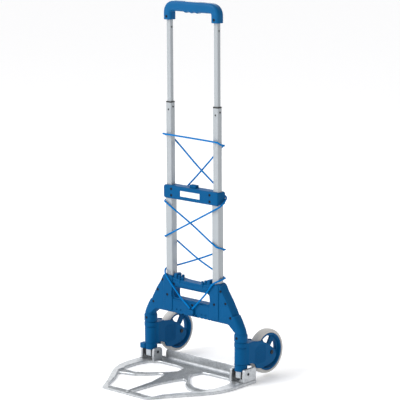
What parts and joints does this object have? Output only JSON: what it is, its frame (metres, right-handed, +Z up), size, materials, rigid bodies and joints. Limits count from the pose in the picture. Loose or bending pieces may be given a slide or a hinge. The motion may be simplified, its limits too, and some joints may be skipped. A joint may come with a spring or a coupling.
{
  "type": "folding platform cart",
  "caption": "Folding hand cart: cast toe plate that folds up, wheels that swing in with it, telescopic uprights, blue base and grip, laced elastic cord.",
  "frame": {"origin": "on the floor, on the centre plane, below the plane of the uprights; it lies on the flat underside of the toe plate", "axes": "+Z up along the uprights, +X to the right across the wheels, +Y back towards the wheels, -Y forward along the toe plate"},
  "size_m": [0.395, 0.446, 1.0235],
  "materials": {
    "tube": "light silver-grey satin lacquer on rectangular tube",
    "frame": "moulded mid blue, satin with a fine grain",
    "grip": "moulded brighter blue, satin",
    "button": "moulded light grey, satin",
    "screw": "dark blackened steel",
    "black_part": "moulded black, slippery",
    "steel": "bright zinc-plated steel",
    "cast_plate": "die-cast aluminium, satin with knurled strips",
    "tyre": "light grey non-marking rubber",
    "cord": "braided bright blue sleeve over an elastic core"
  },
  "bodies": {
    "base": {"base_front_shell": "frame", "base_back_shell": "frame", "lower_tube_left": "tube", "lower_tube_right": "tube", "connector_front_shell": "frame", "connector_back_shell": "frame", "hinge_post_left": "steel", "hinge_post_right": "steel", "foot_block_left": "frame", "foot_block_right": "frame", "hinge_pin_left": "steel", "hinge_pin_right": "steel", "base_screw_upper_left": "screw", "base_screw_upper_right": "screw", "base_screw_middle_left": "screw", "base_screw_middle_right": "screw", "base_screw_lower_left": "screw", "base_screw_lower_right": "screw", "base_screw_socket_left": "screw", "base_screw_socket_right": "screw", "base_screw_rail_left": "screw", "base_screw_rail_right": "screw", "base_screw_neck_left": "screw", "base_screw_neck_right": "screw", "base_screw_centre": "screw", "connector_screw_left_lower": "screw", "connector_screw_left_upper": "screw", "connector_screw_right_lower": "screw", "connector_screw_right_upper": "screw", "release_spring": "steel", "elastic_cord": "cord"},
    "middle_stage": {"middle_tube_left": "tube", "middle_tube_right": "tube", "middle_bush_left": "black_part", "middle_bush_right": "black_part", "collar_left": "black_part", "collar_right": "black_part", "lock_pin_left": "black_part", "lock_pin_right": "black_part"},
    "upper_stage": {"upper_tube_left": "tube", "upper_tube_right": "tube", "upper_bush_left": "black_part", "upper_bush_right": "black_part", "grip_front_shell": "grip", "grip_back_shell": "grip", "grip_screw_left": "screw", "grip_screw_right": "screw"},
    "grip_push_button": {"grip_button": "button", "release_yoke": "steel"},
    "release_push_button": {"release_button": "frame"},
    "toe_plate": {"toe_plate": "cast_plate"},
    "fork_left": {"fork_left": "frame", "axle_bolt_left": "screw"},
    "wheel_left": {"wheel_rim_left": "frame", "tyre_left": "tyre"},
    "fork_right": {"fork_right": "frame", "axle_bolt_right": "screw"},
    "wheel_right": {"wheel_rim_right": "frame", "tyre_right": "tyre"}
  },
  "joints": [
    {"name": "middle_slide", "type": "slide", "parent": "base", "child": "middle_stage", "axis": [0, 0, -1], "range_m": [0, 0.222], "deforming": ["elastic_cord"]},
    {"name": "upper_slide", "type": "slide", "parent": "middle_stage", "child": "upper_stage", "axis": [0, 0, -1], "range_m": [0, 0.219]},
    {"name": "grip_button_press", "type": "slide", "parent": "upper_stage", "child": "grip_push_button", "axis": [0, 0, -1], "range_m": [0, 0.004], "stiffness_N_per_m": 700, "springref_m": -0.004},
    {"name": "release_button_press", "type": "slide", "parent": "base", "child": "release_push_button", "axis": [0, 0, -1], "range_m": [0, 0.004], "stiffness_N_per_m": 500, "springref_m": -0.003, "deforming": ["release_spring"]},
    {"name": "toe_fold", "type": "hinge", "parent": "base", "child": "toe_plate", "pos_m": [0, 0, 0.03], "axis": [-1, 0, 0], "range_deg": [0, 90]},
    {"name": "fork_right_swing", "type": "hinge", "parent": "base", "child": "fork_right", "pos_m": [0.168, 0, 0.085], "axis": [0, 0, 1], "range_deg": [0, 90]},
    {"name": "fork_left_swing", "type": "hinge", "parent": "base", "child": "fork_left", "pos_m": [-0.168, 0, 0.085], "axis": [0, 0, -1], "range_deg": [0, 90]},
    {"name": "wheel_right_spin", "type": "hinge", "parent": "fork_right", "child": "wheel_right", "pos_m": [0.168, 0.103, 0.07], "axis": [1, 0, 0], "continuous": true},
    {"name": "wheel_left_spin", "type": "hinge", "parent": "fork_left", "child": "wheel_left", "pos_m": [-0.168, 0.103, 0.07], "axis": [1, 0, 0], "continuous": true}
  ],
  "couplings": [
    {"joint": "fork_right_swing", "follows": "toe_fold", "ratio": 1},
    {"joint": "fork_left_swing", "follows": "toe_fold", "ratio": 1}
  ]
}
